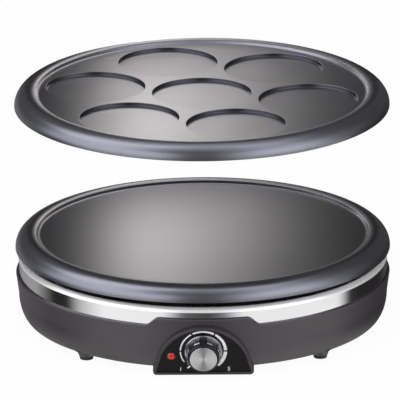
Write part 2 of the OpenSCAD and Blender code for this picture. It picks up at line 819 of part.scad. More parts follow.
module terminal_block() {
    color("#ecebe6") translate([0, block_y, floor_z + 3]) difference() {
        union() {
            translate([-block_w / 2, -block_d / 2, 0]) cube([block_w, block_d, block_h * 0.6]);
            for (x = block_ways) translate([x - 4, -block_d / 2, 0]) cube([8, block_d, block_h]);
            for (x = [-5.5, 5.5]) translate([x, 0, -3]) cylinder(r = 2.5, h = 3 + tiny, $fn = small);
        }
        for (x = block_ways) {
            translate([x, block_d / 2 + 1, block_h * 0.45]) rotate([90, 0, 0])
                cylinder(r = 1.8, h = block_d + 2, $fn = small);
            for (y = [-5, 5]) translate([x, y, block_h * 0.45]) cylinder(r = 1.7, h = block_h, $fn = small);
        }
    }
}

module terminal_screws() {
    color("#c0b070") for (x = block_ways, y = [-5, 5])
        translate([x, block_y + y, floor_z + 3 + block_h * 0.45 + 1.85]) cylinder(r = 1.6, h = 3.5, $fn = small);
}

fuse_x = -34;
fuse_y = -70;
fuse_z = bush_z - 3.4;

module thermal_fuse() {
    color("#c8c4b0") translate([fuse_x, fuse_y, fuse_z]) rotate([0, 90, 0]) {
        cylinder(r = 2, h = 12, $fn = small);
        for (z = [-6, 12]) translate([0, 0, z]) cylinder(r = 0.6, h = 6, $fn = small);
    }
}

module fuse_clip() {
    color("#9a9a9c") translate([fuse_x + 3, fuse_y, fuse_z]) difference() {
        union() {
            rotate([0, 90, 0]) cylinder(r = 2.7, h = 6, $fn = small);
            translate([0, -7, 2.6]) cube([6, 14, 0.8]);
        }
        translate([-1, 0, 0]) rotate([0, 90, 0]) cylinder(r = 2.05, h = 8, $fn = small);
    }
}

earth_y = 60;
module earth_tag() {
    color("#c8c8ca") translate([0, earth_y, bush_z]) difference() {
        union() {
            translate([0, 0, -0.8]) cylinder(r = 4.5, h = 0.8, $fn = small);
            translate([-3.1, 3, -0.8]) cube([6.2, 12, 0.8]);
        }
        translate([0, 0, -2]) cylinder(r = 2.1, h = 4, $fn = small);
    }
}

module earth_screw() {
    color("silver") translate([0, earth_y, bush_z - 0.8]) rotate([180, 0, 0]) pan_head(3.6, 1.8, 1.9, 3.4);
}

// ---------------------------------------------------------------- wires
wire_r = 1.1;
wire_z = floor_z + rib_h + 2;
block_in = floor_z + 3 + block_h * 0.45;
front_y = block_y - block_d / 2;
touch = 0.3;                           // gap left where a wire meets a terminal
back_dir = [0, cos_lean, sin_lean];    // straight back from the panel
dial_at = [0, -dial_out, dial_up];
end_a = heater_half - 90;
end_x = heater_r * cos(end_a) + heater_bend * sin(end_a);
end_y = heater_r * sin(end_a) - heater_bend * cos(end_a);
blade_z = bush_z - 18 - touch;
function tab_at(s, d) = dial_at + [s * tab_x, 0, 0] + back_dir * (tab_back + touch + d);

module live_wire() {
    color("#7a4a28") tube([
        [-11, front_y + 2, block_in], [-11, front_y - 12, block_in], [-30, 80, wire_z],
        [-48, 20, wire_z], [-46, -60, wire_z], [-26, -112, wire_z + 4], tab_at(-1, 14) - [3, 0, 4],
        tab_at(-1, 5), tab_at(-1, 0)], wire_r);
}

module neutral_wire() {
    color("#2a54a0") tube([
        [11, front_y + 2, block_in], [11, front_y - 12, block_in], [30, 80, wire_z],
        [48, 20, wire_z], [46, -50, wire_z], [end_x + 8, end_y + 26, wire_z],
        [end_x, end_y + 5, wire_z + 3], [end_x, end_y, blade_z - 4], [end_x, end_y, blade_z]], wire_r);
}

module control_wire() {
    color("#7a4a28") tube([
        tab_at(1, 0), tab_at(1, 5), tab_at(1, 12) - [3, 0, 1], [0, -132, fuse_z - 1],
        [-24, -125, fuse_z - 1], [-44, -98, fuse_z - 2],
        [-56, -82, fuse_z - 3], [fuse_x - 15, fuse_y, fuse_z], [fuse_x - 6.3, fuse_y, fuse_z]], wire_r);
}

module heater_wire() {
    color("#7a4a28") tube([
        [fuse_x + 18.3, fuse_y, fuse_z], [fuse_x + 24, fuse_y - 1, fuse_z],
        [-6, -84, 33], [-end_x + 4, end_y + 14, 24],
        [-end_x, end_y + 3, 20], [-end_x, end_y, blade_z - 3], [-end_x, end_y, blade_z]], wire_r);
}

module earth_wire() {
    color("#4a8a3a") tube([
        [0, front_y + 2, block_in], [0, front_y - 8, block_in], [0, front_y - 22, 28],
        [0, earth_y + 24, bush_z - 6], [0, earth_y + 19, bush_z - 2.6], [0, earth_y + 15.4, bush_z - 1.5]], wire_r);
}

module capillary_tube() {
    along = [-sin(bulb_turn), cos(bulb_turn), 0];
    tip = bulb_r * [cos(bulb_turn), sin(bulb_turn), 0] + [0, 0, bulb_z] + along * (bulb_len / 2 + 0.1);
    color("#b87333") tube([
        tip, tip + along * 6, capillary_hole + [0, 0, 24], capillary_hole + [0, 0, 12],
        capillary_hole, capillary_hole - [0, 4, 9], [-92, -50, 30], [-52, -112, 30],
        dial_at + [-4, 0, 0] + back_dir * (body_back + 14) - [2, 0, 3],
        dial_at + [-4, 0, 0] + back_dir * (body_back + 5),
        dial_at + [-4, 0, 0] + back_dir * (body_back + 0.1)], 0.8);
}

base_housing();
steel_band();
bottom_cover();
cover_screws();
foot_pads();
reflector_tray();
tray_screws();
plate_studs();
heating_element();
heater_clips();
heater_bushes();
heater_terminals();
control_panel_frame();
panel_insert();
dial_scale();
pilot_lamp_lens();
pilot_lamp_bezel();
pilot_lamp_body();
thermostat_body();
thermostat_nut();
sensor_bulb();
capillary_tube();
bulb_clips();
thermal_fuse();
fuse_clip();
terminal_block();
terminal_screws();
cord_gland();
gland_nut();
earth_tag();
earth_screw();
live_wire();
neutral_wire();
earth_wire();
control_wire();
heater_wire();
thermostat_shaft();
knob_core();
knob_skirt();
knob_cap();
knob_pointer();
flat_plate();
pancake_plate();
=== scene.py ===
"""Electric crepe maker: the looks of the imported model, and a studio to see it in."""

import math

import bmesh
import bpy
from mathutils import Matrix, Vector
from mathutils.geometry import delaunay_2d_cdt

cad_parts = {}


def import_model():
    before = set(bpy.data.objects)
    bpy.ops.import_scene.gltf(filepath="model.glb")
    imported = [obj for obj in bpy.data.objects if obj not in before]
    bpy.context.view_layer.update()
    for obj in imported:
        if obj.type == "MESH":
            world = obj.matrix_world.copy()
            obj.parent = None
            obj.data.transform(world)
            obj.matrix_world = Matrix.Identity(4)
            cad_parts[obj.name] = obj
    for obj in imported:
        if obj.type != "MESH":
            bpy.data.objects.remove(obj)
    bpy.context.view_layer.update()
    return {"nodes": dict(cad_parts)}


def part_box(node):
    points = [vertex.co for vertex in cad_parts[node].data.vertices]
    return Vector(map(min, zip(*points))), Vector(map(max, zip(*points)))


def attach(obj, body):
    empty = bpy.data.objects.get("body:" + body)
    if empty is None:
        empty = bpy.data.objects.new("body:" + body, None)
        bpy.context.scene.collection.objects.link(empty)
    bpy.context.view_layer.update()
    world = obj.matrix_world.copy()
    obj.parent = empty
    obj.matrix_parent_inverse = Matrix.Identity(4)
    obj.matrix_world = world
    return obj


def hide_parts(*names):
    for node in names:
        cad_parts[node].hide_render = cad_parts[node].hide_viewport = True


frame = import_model()
MM = 0.001
nodes = frame["nodes"]
scene = bpy.context.scene


# ------------------------------------------------------------------ sizes, in millimetres
def box_mm(node):
    low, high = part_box(node)
    return low / MM, high / MM


# plates, heights measured down from the crest of the rim
PLATE_R = round(box_mm("flat_plate")[1].x)
CREST_Z = box_mm("flat_plate")[1].z
HOVER_Z = box_mm("pancake_plate")[1].z
RIM_ROLL = 16.0
CREST_R = PLATE_R - RIM_ROLL
PLATE_T = 3.0
DISH = 3.5
DISH_R = PLATE_R - 23.0
SLOPE_FOOT = DISH_R - 1.5
FLOOR_R = SLOPE_FOOT - 1.6
SHEET_UNDER = -DISH - PLATE_T
PLATE_SEGMENTS = 512
WELL_SEGMENTS = 160
WELL_DEPTH = 3.5
WELL_BEVEL = 0.4
WELL_MARGIN = 6.7
WELL_GAP = 9.4
WELL_TURN = -11.8
WELL_R = (DISH_R - WELL_MARGIN - WELL_GAP) / 3
WELL_RING = 2 * WELL_R + WELL_GAP
BOSS_R = 5.0
BOSS_DROP = 8.0
BOSS_TOP = 2.6
STUD_RING = 176.8
STUD_ANGLES = (-146, -34, 34, 146)

# housing, feet and steel band
CONE_H = 4.8
HOUSING_H = 47.5
UNDER_Z = box_mm("base_housing")[0].z + CONE_H
LIP_R = PLATE_R - 0.4
LIP_Z = UNDER_Z + HOUSING_H
WALL_FLARE = 2.8
WAIST_Z = LIP_Z - 20.7
WAIST_R = LIP_R - WALL_FLARE
UNDER_TURN = 13.0
UNDER_R = WAIST_R - UNDER_TURN
WALL_T = 2.5
WALL_IN_R = LIP_R - WALL_T
LEDGE_Z = LIP_Z - 7
LEDGE_W = 5
RAISE_H = 8.1
RAISE_HALF = 47.2
RAISE_RUN = 9.0
COVER_R = UNDER_R - 19
FOOT_RING = UNDER_R - 7.0
FOOT_R = 6.6
PAD_H = 3.6
GLAND_Z = UNDER_Z + 20
GLAND_SEAT_R = 10.5
GLAND_SEAT_T = 7.5
BAND_R = WALL_IN_R - 0.3
BAND_T = 0.9
BAND_TOP = LIP_Z + 19.2
BAND_SLOPE = 3.7
BAND_HEM = 1.6
BAND_FLANGE = 17

# control panel, lamp and knob, heights measured out from the panel's face
LEAN = math.radians(14.5)
DIAL = Vector((0, -(LIP_R - 3.1), UNDER_Z + 21.6))
DOME_R = 48.2
DOME_DROP = 21.2
PANEL_DROP = 28.2
PANEL_FLARE = 16.0
PANEL_CORNER = 4.0
PANEL_RIM = 2.9
POCKET_FLOOR = -4.6
POCKET_INSET = 1.2
LAMP_AT = (-32.4, -5.6)
LAMP_R = 4.0
NUMERAL_H = 4.6
KNOB_GAP = 0.6
KNOB_H = 16.4
GRIP_R = 16.0
CAP_R = 13.6
CAP_T = 1.2
SKIRT_R = 19.2
SKIRT_TOP = 12.2
WINDOWS = 8
WINDOW_HALF = 4.0
POINTER = 222.0
POINTER_HALF = 6

WELD = 1e-3


# ------------------------------------------------------------------ mesh helpers
def spread(start, end, n):
    """Values from start to end in n even steps."""
    return [start + (end - start) * i / n for i in range(n + 1)]


def polar(r, degrees):
    a = math.radians(degrees)
    return r * math.cos(a), r * math.sin(a)


def circle(r, n, centre=(0, 0)):
    """Points evenly round a circle."""
    turns = (2 * math.pi * j / n for j in range(n))
    return [(centre[0] + r * math.cos(a), centre[1] + r * math.sin(a)) for a in turns]


def arc(cx, cz, r, a0, a1, n):
    """Points on an arc, angles in degrees from the first axis."""
    turns = [math.radians(a) for a in spread(a0, a1, n)]
    return [(cx + r * math.cos(a), cz + r * math.sin(a)) for a in turns]


def rounded(points, radii, n=6):
    """An open outline with each inner corner rounded by its own radius."""
    out = [points[0]]
    for before, at, after, r in zip(points, points[1:], points[2:], radii):
        p, a, b = Vector(at), Vector(before) - Vector(at), Vector(after) - Vector(at)
        half = a.angle(b) / 2
        reach = min(r / math.tan(half), a.length * 0.48, b.length * 0.48)
        for i in range(n + 1):
            t = i / n
            q = (1 - t) ** 2 * (p + a.normalized() * reach) + 2 * t * (1 - t) * p
            q += t ** 2 * (p + b.normalized() * reach)
            out.append(tuple(q))
    out.append(points[-1])
    return out


def spindle(points, radii, n=6):
    """A rounded outline carried in to the axis at both ends."""
    return [(0, points[0][1])] + rounded(points, radii, n) + [(0, points[-1][1])]


def in_metres(place):
    """A placement in millimetres as a matrix in metres."""
    return Matrix.Translation(place.to_translation() * MM) @ place.to_3x3().to_4x4()


class Shape:
    """Vertices and faces of one mesh, in millimetres, and which material each face takes."""

    def __init__(self):
        self.verts, self.faces, self.kinds = [], [], []

    def add(self, verts, faces, kinds=None):
        start = len(self.verts)
        self.verts += [tuple(v) for v in verts]
        self.faces += [tuple(start + i for i in f) for f in faces]
        self.kinds += kinds or [0] * len(faces)
        return self

    def cap(self, ring):
        """One face over a ring of points."""
        return self.add(ring, [tuple(range(len(ring)))])

    def grid(self, rows, close_col=False, kind=None):
        """Closed rows of points with the same count, joined into quads."""
        n = len(rows[0])
        faces, kinds = [], []
        for i in range(len(rows) if close_col else len(rows) - 1):
            for j in range(n):
                k, m = (i + 1) % len(rows), (j + 1) % n
                faces.append((i * n + j, i * n + m, k * n + m, k * n + j))
                kinds.append(kind(i, j) if kind else 0)
        return self.add([p for row in rows for p in row], faces, kinds)

    def lathe(self, profile, segments, centre=(0, 0), closed=False, kind=None):
        """A profile of (radius, height) turned about a vertical line. Radius 0 makes a pole."""
        rows = [[(x, y, z) for x, y in circle(max(r, 1e-4), segments, centre)] for r, z in profile]
        return self.grid(rows, close_col=closed, kind=kind)

    def placed(self, matrix):
        self.verts = [tuple(matrix @ Vector(v)) for v in self.verts]
        return self


def piece(name, shape, body, materials, replaces, sharp=32, local=None):
    """A finished object from a shape, riding on its body."""
    mesh = bpy.data.meshes.new(name)
    mesh.from_pydata([Vector(v) * MM for v in shape.verts], [], shape.faces)
    for material in materials:
        mesh.materials.append(material)
    mesh.polygons.foreach_set("material_index", shape.kinds)
    bm = bmesh.new()
    bm.from_mesh(mesh)
    bmesh.ops.remove_doubles(bm, verts=bm.verts, dist=WELD * MM)
    bmesh.ops.dissolve_degenerate(bm, edges=bm.edges, dist=WELD * MM)
    bmesh.ops.recalc_face_normals(bm, faces=bm.faces)
    bm.to_mesh(mesh)
    bm.free()
    mesh.shade_smooth()
    mesh.set_sharp_from_angle(angle=math.radians(sharp))
    made = bpy.data.objects.new(name, mesh)
    scene.collection.objects.link(made)
    if local is not None:
        made.matrix_world = local
    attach(made, body)
    for node in replaces:
        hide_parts(node)


# ------------------------------------------------------------------ materials
class Nodes:
    """A node tree under construction."""

    def __init__(self, tree):
        self.tree = tree

    def node(self, kind, **values):
        made = self.tree.nodes.new(kind)
        for key, value in values.items():
            if key in made.inputs:
                made.inputs[key].default_value = value
            else:
                setattr(made, key, value)
        return made

    def link(self, a, b):
        self.tree.links.new(a, b)

    def calc(self, operation, *values):
        """A Math node on numbers and outputs."""
        made = self.node("ShaderNodeMath", operation=operation)
        for socket, value in zip(made.inputs, values):
            if isinstance(value, float):
                socket.default_value = value
            else:
                self.link(value, socket)
        return made.outputs[0]

    def between(self, value, low=0.0, high=1.0, start=0.0, end=1.0):
        """A value that runs from start to end, mapped to run from low to high."""
        made = self.node("ShaderNodeMapRange")
        made.inputs["From Min"].default_value = start
        made.inputs["From Max"].default_value = end
        made.inputs["To Min"].default_value = low
        made.inputs["To Max"].default_value = high
        self.link(value, made.inputs["Value"])
        return made.outputs["Result"]

    def ramp(self, value, stops):
        """A colour ramp; each stop is a place and a colour or a grey."""
        made = self.node("ShaderNodeValToRGB")
        elements = made.color_ramp.elements
        while len(elements) < len(stops):
            elements.new(0.5)
        for element, (at, colour) in zip(elements, stops):
            element.position = at
            element.color = (*(colour if isinstance(colour, tuple) else (colour,) * 3), 1)
        self.link(value, made.inputs["Fac"])
        return made.outputs["Color"]

    def mix_shaders(self, share, first, second):
        made = self.node("ShaderNodeMixShader")
        self.link(share, made.inputs["Fac"])
        self.link(first, made.inputs[1])
        self.link(second, made.inputs[2])
        return made.outputs[0]


class Paint(Nodes):
    """One material under construction."""

    SOCKETS = {"base": "Base Color", "rough": "Roughness", "metal": "Metallic",
               "coat": "Coat Weight", "coat_rough": "Coat Roughness",
               "spec": "Specular IOR Level", "aniso": "Anisotropic"}

    def __init__(self, name):
        self.material = bpy.data.materials.new(name)
        self.material.use_nodes = True
        super().__init__(self.material.node_tree)
        self.shader = self.tree.nodes["Principled BSDF"]

    def set(self, **values):
        for key, value in values.items():
            if key == "base":
                value = (*value, 1)
            self.shader.inputs[self.SOCKETS[key]].default_value = value
        return self

    def feed(self, value, socket):
        self.link(value, self.shader.inputs[socket])

    def show(self, surface):
        """Another shader in place of the material's own."""
        self.link(surface, self.tree.nodes["Material Output"].inputs["Surface"])

    def coords(self):
        return self.node("ShaderNodeTexCoord").outputs["Object"]

    def noise(self, scale, detail=4.0, rough=0.55, squash=None):
        where = self.coords()
        if squash:
            mapping = self.node("ShaderNodeMapping", Scale=squash)
            self.link(where, mapping.inputs["Vector"])
            where = mapping.outputs["Vector"]
        made = self.node("ShaderNodeTexNoise", Scale=scale, Detail=detail, Roughness=rough)
        self.link(where, made.inputs["Vector"])
        return made.outputs["Fac"]

    def bump(self, height, strength, distance):
        made = self.node("ShaderNodeBump", Strength=strength, Distance=distance * MM)
        self.link(height, made.inputs["Height"])
        self.feed(made.outputs["Normal"], "Normal")

    def mottle(self, base, change, scale):
        """Base colour that varies softly by a share of itself."""
        dark = tuple(c * (1 - change) for c in base)
        light = tuple(min(1, c * (1 + change)) for c in base)
        self.feed(self.ramp(self.noise(scale), [(0.3, dark), (0.7, light)]), "Base Color")

    def wear(self, scale, low, high):
        """Roughness that varies between two values."""
        self.feed(self.between(self.noise(scale), low, high), "Roughness")


def plastic(name, base, rough, grain=2600, depth=0.03, spec=0.5):
    """Moulded plastic; grain is the noise scale of its texture, depth is in millimetres."""
    paint = Paint(name).set(base=base, rough=rough, spec=spec)
    paint.mottle(base, 0.08, 40)
    paint.wear(90, rough - 0.05, rough + 0.06)
    paint.bump(paint.noise(grain, 2.0), 0.35, depth)
    return paint.material


def metal(name, base, rough, grain=500, depth=0.01, change=0.05):
    paint = Paint(name).set(base=base, rough=rough, metal=1.0)
    paint.mottle(base, change, 60)
    paint.wear(120, rough - 0.05, rough + 0.08)
    paint.bump(paint.noise(grain, 3.0), 0.3, depth)
    return paint.material


def nonstick(name, painted_shade_factor=1.0):
    """Dark blue-grey coating with metal flake; the second argument scales all its colour down, to
    paint shade where it is below 1.
    """
    paint = Paint(name).set(rough=0.285, metal=0.9, spec=0.8)
    grain = paint.noise(1500, 3.0, 0.7)
    flake = [(0.3, (0.165, 0.167, 0.183)), (0.55, (0.2, 0.202, 0.218)),
             (0.75, (0.26, 0.262, 0.28))]
    stops = [(at, tuple(c * painted_shade_factor for c in colour)) for at, colour in flake]
    paint.feed(paint.ramp(grain, stops), "Base Color")
    paint.bump(grain, 0.35, 0.04)
    return paint.material


def band_steel():
    """Polished stainless sheet with faint lines along the band."""
    paint = Paint("band_steel").set(base=(0.86, 0.85, 0.86), rough=0.12, metal=1.0)
    lines = paint.noise(900, 2.0, squash=(0.02, 0.02, 1.0))
    paint.feed(paint.between(lines, 0.09, 0.17), "Roughness")
    paint.bump(lines, 0.06, 0.01)
    return paint.material


def band_hem_painted_highlight():
    """The band's turned edge: a paler, half-matt copy of the band's steel, a painted highlight
    that keeps the edge bright under the plate's shade.
    """
    paint = Paint("band_hem_painted_highlight").set(base=(0.95, 0.945, 0.95), rough=0.28, metal=0.5)
    paint.bump(paint.noise(700, 2.0), 0.1, 0.01)
    return paint.material


def spun_cap():
    """Turned aluminium: grooves run round the cap's own axis, so its highlights fan out."""
    paint = Paint("spun_aluminium").set(base=(0.84, 0.84, 0.85), rough=0.3, metal=1.0, aniso=0.9)
    paint.shader.inputs["Anisotropic Rotation"].default_value = 0.25
    tangent = paint.node("ShaderNodeTangent", direction_type="RADIAL", axis="Z")
    paint.feed(tangent.outputs["Tangent"], "Tangent")
    from_axis = paint.node("ShaderNodeVectorMath", operation="LENGTH")
    paint.link(paint.coords(), from_axis.inputs[0])
    rings = paint.node("ShaderNodeTexNoise", noise_dimensions="1D", Scale=1800, Detail=3.0)
    paint.link(from_axis.outputs["Value"], rings.inputs["W"])
    paint.feed(paint.between(rings.outputs["Fac"], 0.22, 0.38), "Roughness")
    paint.bump(rings.outputs["Fac"], 0.12, 0.01)
    return paint.material


def lens():
    """Red plastic with a faint glow."""
    paint = Paint("lamp_lens").set(base=(0.42, 0.016, 0.012), rough=0.12, spec=0.5, coat=0.15,
                                   coat_rough=0.05)
    paint.mottle((0.42, 0.018, 0.012), 0.25, 400)
    paint.shader.inputs["Emission Color"].default_value = (0.8, 0.03, 0.02, 1)
    paint.shader.inputs["Emission Strength"].default_value = 0.06
    return paint.material


COATING = nonstick("nonstick_coating")
# Painted shade: the coating at about a third of its colour, standing in for the shade on the
# wells' walls.
WELL_WALL_PAINTED_SHADE = nonstick("nonstick_well_wall_painted_shade", 0.36)
CHARCOAL = plastic("charcoal_plastic", (0.028, 0.021, 0.027), 0.4, 2400, 0.05, spec=0.75)
POD = plastic("pod_plastic", (0.029, 0.022, 0.029), 0.4, 2400, 0.04, spec=0.7)
GLOSS = plastic("gloss_black", (0.006, 0.006, 0.007), 0.09, 300, 0.002)
STEEL = band_steel()
# Painted highlight: the band's steel made paler and duller for its turned edge.
HEM_PAINTED_HIGHLIGHT = band_hem_painted_highlight()
RUBBER = plastic("rubber_pad", (0.03, 0.028, 0.03), 0.75, 1500, 0.06)
SATIN_BLACK = plastic("knob_black", (0.009, 0.009, 0.01), 0.34, 1800, 0.02, spec=0.22)
SILVER = metal("skirt_silver", (0.33, 0.325, 0.335), 0.26)
WHITE = plastic("white_print", (0.86, 0.86, 0.86), 0.4, 900, 0.005)
CAP = spun_cap()
LENS = lens()

LOOKS = {
    "zinc": metal("zinc_steel", (0.55, 0.56, 0.57), 0.3),
    "spring": metal("spring_steel", (0.34, 0.34, 0.35), 0.35),
    "sheath": metal("heater_sheath", (0.13, 0.115, 0.105), 0.48, 900, 0.03, 0.25),
    "tray": metal("tray_metal", (0.6, 0.6, 0.61), 0.32, 300, 0.03, 0.1),
    "brass": metal("brass", (0.62, 0.48, 0.22), 0.3),
    "copper": metal("copper", (0.6, 0.3, 0.18), 0.32),
    "ceramic": plastic("ceramic", (0.78, 0.75, 0.68), 0.6),
    "phenolic": plastic("thermostat_case", (0.7, 0.68, 0.62), 0.5),
    "nylon": plastic("natural_nylon", (0.75, 0.74, 0.7), 0.45),
    "black_nylon": plastic("black_nylon", (0.018, 0.018, 0.019), 0.42, 1200, 0.03),
    "cover": plastic("cover_plastic", (0.035, 0.034, 0.036), 0.55, 2000, 0.06),
    "brown": plastic("wire_brown", (0.16, 0.07, 0.03), 0.45),
    "blue": plastic("wire_blue", (0.03, 0.1, 0.36), 0.45),
    "green": plastic("wire_green", (0.08, 0.28, 0.06), 0.45),
    "print": WHITE,
}
NODE_LOOK = {
    "bottom_cover": "cover", "cover_screws": "zinc", "reflector_tray": "tray",
    "tray_screws": "zinc", "plate_studs": "zinc", "heating_element": "sheath",
    "heater_clips": "spring", "heater_bushes": "ceramic", "heater_terminals": "brass",
    "pilot_lamp_body": "nylon", "thermostat_body": "phenolic", "thermostat_nut": "zinc",
    "sensor_bulb": "copper", "capillary_tube": "copper", "bulb_clips": "spring",
    "thermal_fuse": "nylon", "fuse_clip": "spring", "terminal_block": "nylon",
    "terminal_screws": "brass", "cord_gland": "black_nylon", "gland_nut": "black_nylon",
    "earth_tag": "zinc", "earth_screw": "zinc", "live_wire": "brown", "neutral_wire": "blue",
    "earth_wire": "green", "control_wire": "brown", "heater_wire": "brown",
    "thermostat_shaft": "zinc", "dial_scale": "print", "knob_pointer": "print",
}
for node, look in NODE_LOOK.items():
    slots = nodes[node].data.materials
    slots.clear()
    slots.append(LOOKS[look])


# ------------------------------------------------------------------ plates
def plate_top():
    """Upper face from the edge of the cooking surface out, up a short wall and over the rim."""
    toe, wall, brow = math.radians(15), math.radians(45), math.radians(21)
    apron, fillet, small, big = 9.0, 1.2, 1.5, 14.0
    steps = 8
    crest = [(CREST_R - big * math.sin(t), -big * (1 - math.cos(t)))
             for t in spread(0, brow, steps)]
    at = Vector(crest[-1]) + small * Vector((math.sin(brow), -math.cos(brow)))
    edge = [(at.x - small * math.sin(t), at.y + small * math.cos(t))
            for t in spread(brow, wall, steps)[1:]]
    drop = (edge[-1][1] + DISH - apron * (1 - math.cos(toe))
            - fillet * (math.cos(toe) - math.cos(wall)))
    foot = (edge[-1][0] - drop / math.tan(wall) - fillet * (math.sin(wall) - math.sin(toe))
            - apron * math.sin(toe))
    curve = [(foot + apron * math.sin(t), -DISH + apron * (1 - math.cos(t)))
             for t in spread(0, toe, steps)]
    turn = curve[-1]
    curve += [(turn[0] + fillet * (math.sin(t) - math.sin(toe)),
               turn[1] + fillet * (math.cos(toe) - math.cos(t)))
              for t in spread(toe, wall, steps)[1:]]
    roll = arc(CREST_R, -RIM_ROLL, RIM_ROLL, 90, 0, 28)
    return [(FLOOR_R, -DISH)] + curve + edge[::-1] + crest[::-1][:-1] + roll


def plate_bottom():
    """Lower face from the foot of the rim back in to under the cooking surface."""
    roll = arc(CREST_R, -RIM_ROLL, RIM_ROLL - PLATE_T, 0, 90, 20)
    slope = [(CREST_R - 3, -PLATE_T), (SLOPE_FOOT + 1.2, SHEET_UNDER), (FLOOR_R, SHEET_UNDER)]
    return [(PLATE_R - 0.5, -RIM_ROLL)] + roll + slope


def sheet_with_holes(z, hole_r, places):
    """The cooking surface as a flat disc of triangles, with a round hole at each place."""
    slack = 1e-4
    points, edges = [], []
    rings = [((0, 0), FLOOR_R, PLATE_SEGMENTS)]
    rings += [(place, hole_r, WELL_SEGMENTS) for place in places]
    for centre, r, n in rings:
        start = len(points)
        points += [Vector(p) for p in circle(r, n, centre)]
        edges += [(start + j, start + (j + 1) % n) for j in range(n)]
    verts, _, faces, *_ = delaunay_2d_cdt(points, edges, [], 0, 1e-5)
    holes = [Vector(place) for place in places]

    def in_hole(face, middle):
        return any((middle - hole).length < hole_r * (1 - slack)
                   and all((verts[i] - hole).length <= hole_r * (1 + slack) for i in face)
                   for hole in holes)

    kept = []
    for face in faces:
        middle = sum((verts[i] for i in face), Vector((0, 0))) / len(face)
        if middle.length < FLOOR_R and not in_hole(face, middle):
            kept.append(face)
    return [(v.x, v.y, z) for v in verts], kept


def with_bosses(shape, z):
    """A plate with the four bosses that sit on the studs, its crest lifted to z."""
    side = [(0.5, -BOSS_DROP), (BOSS_R, -BOSS_DROP), (BOSS_R, -BOSS_TOP)]
    for a in STUD_ANGLES:
        shape.lathe(spindle(side, [0.5]), 40, polar(STUD_RING, a))
    return shape.placed(Matrix.Translation((0, 0, z)))


def flat_plate():
    radii = (30, 80, 120, 150)
    face = [(r, -DISH) for r in radii]
    under = [(r, SHEET_UNDER) for r in reversed(radii)]
    shape = Shape().lathe(face + plate_top() + plate_bottom() + under, PLATE_SEGMENTS)
    for z in (-DISH, SHEET_UNDER):
        shape.cap([(x, y, z) for x, y in circle(radii[0], PLATE_SEGMENTS)])
    piece("flat_plate_cast", with_bosses(shape, CREST_Z), "flat_plate", [COATING],
          ["flat_plate"])


def pancake_plate():
    """The plate with seven wells, which stand out below its sheet as shallow cups."""
    skin, margin, hub = 1.8, 1.0, 20
    floor_z = -DISH - WELL_DEPTH
    under_z = floor_z - PLATE_T
    under_r = WELL_R + skin
    places = [(0.0, 0.0)] + [polar(WELL_RING, WELL_TURN + 60 * i) for i in range(6)]
    shape = Shape().lathe(plate_top() + plate_bottom(), PLATE_SEGMENTS)
    shape.add(*sheet_with_holes(-DISH, WELL_R + margin, places))
    shape.add(*sheet_with_holes(SHEET_UNDER, under_r + margin, places))
    top = rounded([(WELL_R + margin, -DISH), (WELL_R, -DISH), (WELL_R - WELL_BEVEL, floor_z),
                   (hub, floor_z)], [0.5, 0.7], 8)
    below = rounded([(under_r + margin, SHEET_UNDER), (under_r, SHEET_UNDER),
                     (under_r - WELL_BEVEL, under_z), (hub, under_z)], [1.0, 2.0], 5)

    def wall(i, j):
        """The coating darkened as painted shade, on the walls alone."""
        return int(floor_z + 0.1 < top[i][1] < -DISH - 0.2)

    for place in places:
        shape.lathe(top + [(0, floor_z)], WELL_SEGMENTS, place, kind=wall)
        shape.lathe(below + [(0, under_z)], WELL_SEGMENTS, place)
    piece("pancake_plate_cast", with_bosses(shape, HOVER_Z), "pancake_plate",
          [COATING, WELL_WALL_PAINTED_SHADE], ["pancake_plate"], sharp=50)


flat_plate()
pancake_plate()


# ------------------------------------------------------------------ housing
PANEL_OUT = Vector((0, -math.cos(LEAN), -math.sin(LEAN)))
PANEL_UP = Vector((0, -math.sin(LEAN), math.cos(LEAN)))
PANEL_PLACE = Matrix(((1, 0, 0, DIAL.x),
                      (0, PANEL_UP.y, PANEL_OUT.y, DIAL.y),
                      (0, PANEL_UP.z, PANEL_OUT.z, DIAL.z),
                      (0, 0, 0, 1)))
FOOT_PLACES = [polar(FOOT_RING, 45 + 90 * i) for i in range(4)]


def panel_outline(grow):
    """The panel's outline, moved out by grow, as (sideways, up) points in a fixed number."""
    flare = math.radians(PANEL_FLARE)
    corner_v = PANEL_CORNER - PANEL_DROP
    reach = corner_v + DOME_DROP
    corner_u = (DOME_R - PANEL_CORNER - reach * math.sin(flare)) / math.cos(flare)
    corner_r = PANEL_CORNER + grow
    return (arc(corner_u, corner_v, corner_r, -90, PANEL_FLARE, 10)
            + arc(0, -DOME_DROP, DOME_R + grow, PANEL_FLARE, 180 - PANEL_FLARE, 80)
            + arc(-corner_u, corner_v, corner_r, 180 - PANEL_FLARE, 270, 10))


def inside_panel(u, v, grow):
    flare = math.radians(PANEL_FLARE)
    side = (abs(u) * math.cos(flare) + (v + DOME_DROP) * math.sin(flare)) < DOME_R + grow
    dome = math.hypot(u, max(0, v + DOME_DROP)) < DOME_R + grow
    return side and dome and v > -PANEL_DROP - grow


def lip_height(x):
    """Height of the housing's lip over the front, raised above the panel with soft corners."""
    soft = 2.4
    raised = [min(1, max(0, (RAISE_HALF + RAISE_RUN - at) / RAISE_RUN))
              for at in spread(abs(x) - soft, abs(x) + soft, 8)]
    return LIP_Z + RAISE_H * sum(raised) / len(raised)


def wall_r(z):
    return WAIST_R + WALL_FLARE * (z - WAIST_Z) / (LIP_Z - WAIST_Z)


